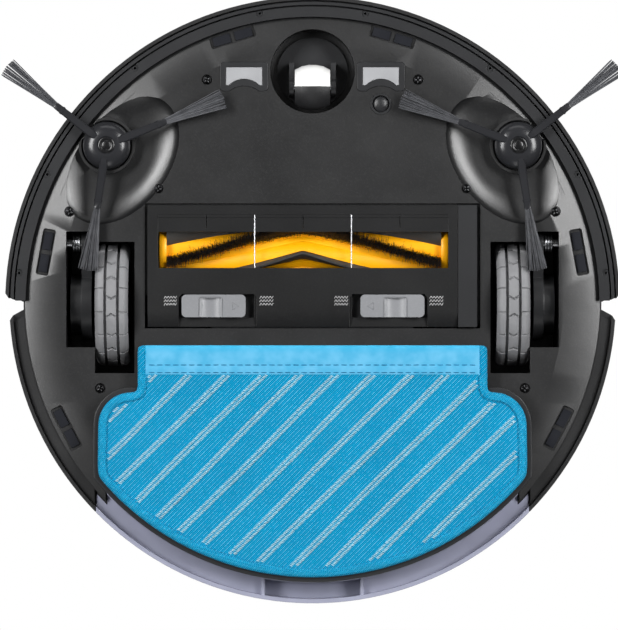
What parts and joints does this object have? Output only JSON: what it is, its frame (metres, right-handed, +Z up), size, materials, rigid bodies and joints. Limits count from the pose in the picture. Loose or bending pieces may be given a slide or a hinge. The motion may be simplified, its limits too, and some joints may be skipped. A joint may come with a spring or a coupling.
{
  "type": "robot vacuum",
  "caption": "Round robot vacuum with sprung drive wheels, side brushes, roller, laser turret and a rear water tank with a mop cloth.",
  "frame": {"origin": "on the floor under the middle of the round body, with the object standing on its wheels", "axes": "+Z up, -Y is the front with the bumper, +Y is the rear with the water tank, +X is the robot's own left"},
  "size_m": [0.3582, 0.35, 0.093],
  "materials": {
    "black_plastic": "fine moulded texture, satin",
    "dark_plastic": "fine moulded texture, satin",
    "smoke_window": "smoked infra-red window, glossy",
    "grey_plastic": "moulded, satin",
    "white_plastic": "glossy",
    "yellow_plastic": "moulded, semi-gloss",
    "tank_plastic": "smoky translucent, glossy",
    "grey_rubber": "moulded rubber",
    "black_rubber": "moulded rubber",
    "bristle_grey": "nylon filaments",
    "bristle_black": "nylon filaments",
    "steel": "brushed",
    "bright_metal": "nickel-plated",
    "mop_fabric": "blue microfibre with pale scrubbing stripes",
    "circuit_board": "solder mask",
    "battery_wrap": "shrink wrap",
    "filter_media": "pleated filter paper"
  },
  "bodies": {
    "body": {"base_plate": "black_plastic", "front_wall": "black_plastic", "side_shell": "black_plastic", "top_cover": "black_plastic", "base_screws": "steel", "contact_bezels": "dark_plastic", "charge_contacts": "bright_metal", "cliff_lenses": "smoke_window", "carpet_sensor": "dark_plastic", "battery_pack": "battery_wrap", "main_board": "circuit_board", "brush_housing": "black_plastic", "brush_gearbox": "dark_plastic", "brush_motor": "steel", "dust_bin": "dark_plastic", "bin_filter": "filter_media", "fan_housing": "dark_plastic", "side_brush_motors": "dark_plastic", "wheel_housing_left": "black_plastic", "wheel_housing_right": "black_plastic", "suspension_pins": "steel", "suspension_springs": "steel", "speaker": "dark_plastic", "water_pump": "grey_plastic", "lidar_base": "dark_plastic", "turret_cap": "dark_plastic", "bumper_switches": "dark_plastic"},
    "fan": {"fan_impeller": "white_plastic"},
    "lidar": {"lidar_rotor": "dark_plastic"},
    "arm_left": {"wheel_arm_left": "dark_plastic"},
    "arm_right": {"wheel_arm_right": "dark_plastic"},
    "wheel_left": {"wheel_rim_left": "dark_plastic", "wheel_tyre_left": "grey_rubber"},
    "wheel_right": {"wheel_rim_right": "dark_plastic", "wheel_tyre_right": "grey_rubber"},
    "caster": {"caster_fork": "dark_plastic", "caster_axle": "steel"},
    "caster_wheel": {"caster_wheel_light": "white_plastic", "caster_wheel_dark": "black_rubber"},
    "side_brush_left": {"side_hub_left": "dark_plastic", "side_bristles_left": "bristle_grey"},
    "side_brush_right": {"side_hub_right": "dark_plastic", "side_bristles_right": "bristle_grey"},
    "roller": {"roller_core": "yellow_plastic", "roller_bristles": "bristle_black"},
    "guard": {"brush_cover": "black_plastic", "cover_flaps": "black_rubber", "guard_wires": "white_plastic"},
    "latch_left": {"cover_latch_left": "grey_plastic"},
    "latch_right": {"cover_latch_right": "grey_plastic"},
    "tank": {"water_tank": "tank_plastic", "tank_plug": "black_rubber", "mop_plate": "dark_plastic", "mop_cloth": "mop_fabric"},
    "release": {"tank_release": "dark_plastic"},
    "bumper": {"bumper_skin": "black_plastic", "bumper_frame": "dark_plastic", "bumper_window": "smoke_window"},
    "lid": {"top_lid": "dark_plastic"},
    "button": {"start_button": "steel"}
  },
  "joints": [
    {"name": "bumper_press", "type": "slide", "parent": "body", "child": "bumper", "axis": [0, 1, 0], "range_m": [0, 0.003], "stiffness_N_per_m": 400, "springref_m": -0.002},
    {"name": "suspension_left", "type": "hinge", "parent": "body", "child": "arm_left", "pos_m": [0.1156, -0.033, 0.024], "axis": [-1, 0, 0], "range_deg": [0, 36], "stiffness_Nm_per_rad": 0.15, "springref_deg": 63.03, "deforming": ["side_bristles_left"]},
    {"name": "wheel_spin_left", "type": "hinge", "parent": "arm_left", "child": "wheel_left", "pos_m": [0.1156, 0.0026, 0.0355], "axis": [1, 0, 0], "continuous": true},
    {"name": "suspension_right", "type": "hinge", "parent": "body", "child": "arm_right", "pos_m": [-0.1156, -0.033, 0.024], "axis": [-1, 0, 0], "range_deg": [0, 36], "stiffness_Nm_per_rad": 0.15, "springref_deg": 63.03, "deforming": ["side_bristles_right"]},
    {"name": "wheel_spin_right", "type": "hinge", "parent": "arm_right", "child": "wheel_right", "pos_m": [-0.1156, 0.0026, 0.0355], "axis": [1, 0, 0], "continuous": true},
    {"name": "caster_swivel", "type": "hinge", "parent": "body", "child": "caster", "pos_m": [0, -0.1318, 0.02], "axis": [0, 0, 1], "continuous": true},
    {"name": "caster_roll", "type": "hinge", "parent": "caster", "child": "caster_wheel", "pos_m": [0, -0.1226, 0.013], "axis": [1, 0, 0], "continuous": true},
    {"name": "side_brush_spin_left", "type": "hinge", "parent": "body", "child": "side_brush_left", "pos_m": [0.1186, -0.089, 0.01], "axis": [0, 0, 1], "continuous": true},
    {"name": "side_brush_spin_right", "type": "hinge", "parent": "body", "child": "side_brush_right", "pos_m": [-0.1186, -0.089, 0.01], "axis": [0, 0, 1], "continuous": true},
    {"name": "roller_spin", "type": "hinge", "parent": "body", "child": "roller", "pos_m": [-0.0054, -0.0288, 0.0282], "axis": [1, 0, 0], "continuous": true},
    {"name": "guard_release", "type": "slide", "parent": "body", "child": "guard", "axis": [0, 0, -1], "range_m": [0, 0.04]},
    {"name": "latch_slide_left", "type": "slide", "parent": "guard", "child": "latch_left", "axis": [-1, 0, 0], "range_m": [0, 0.0046], "stiffness_N_per_m": 150, "springref_m": -0.003},
    {"name": "latch_slide_right", "type": "slide", "parent": "guard", "child": "latch_right", "axis": [1, 0, 0], "range_m": [0, 0.0046], "stiffness_N_per_m": 150, "springref_m": -0.003},
    {"name": "tank_slide", "type": "slide", "parent": "body", "child": "tank", "axis": [0, 1, 0], "range_m": [0, 0.15]},
    {"name": "release_press", "type": "slide", "parent": "tank", "child": "release", "axis": [0, -1, 0], "range_m": [0, 0.0016], "stiffness_N_per_m": 400, "springref_m": -0.001},
    {"name": "lid_open", "type": "hinge", "parent": "body", "child": "lid", "pos_m": [0, 0.055, 0.0785], "axis": [-1, 0, 0], "range_deg": [0, 80]},
    {"name": "button_press", "type": "slide", "parent": "body", "child": "button", "axis": [0, 0, -1], "range_m": [0, 0.001], "stiffness_N_per_m": 800, "springref_m": -0.001},
    {"name": "lidar_spin", "type": "hinge", "parent": "body", "child": "lidar", "pos_m": [0, 0.105, 0.084], "axis": [0, 0, 1], "continuous": true},
    {"name": "fan_spin", "type": "hinge", "parent": "body", "child": "fan", "pos_m": [-0.076, 0.027, 0.041], "axis": [1, 0, 0], "continuous": true}
  ]
}
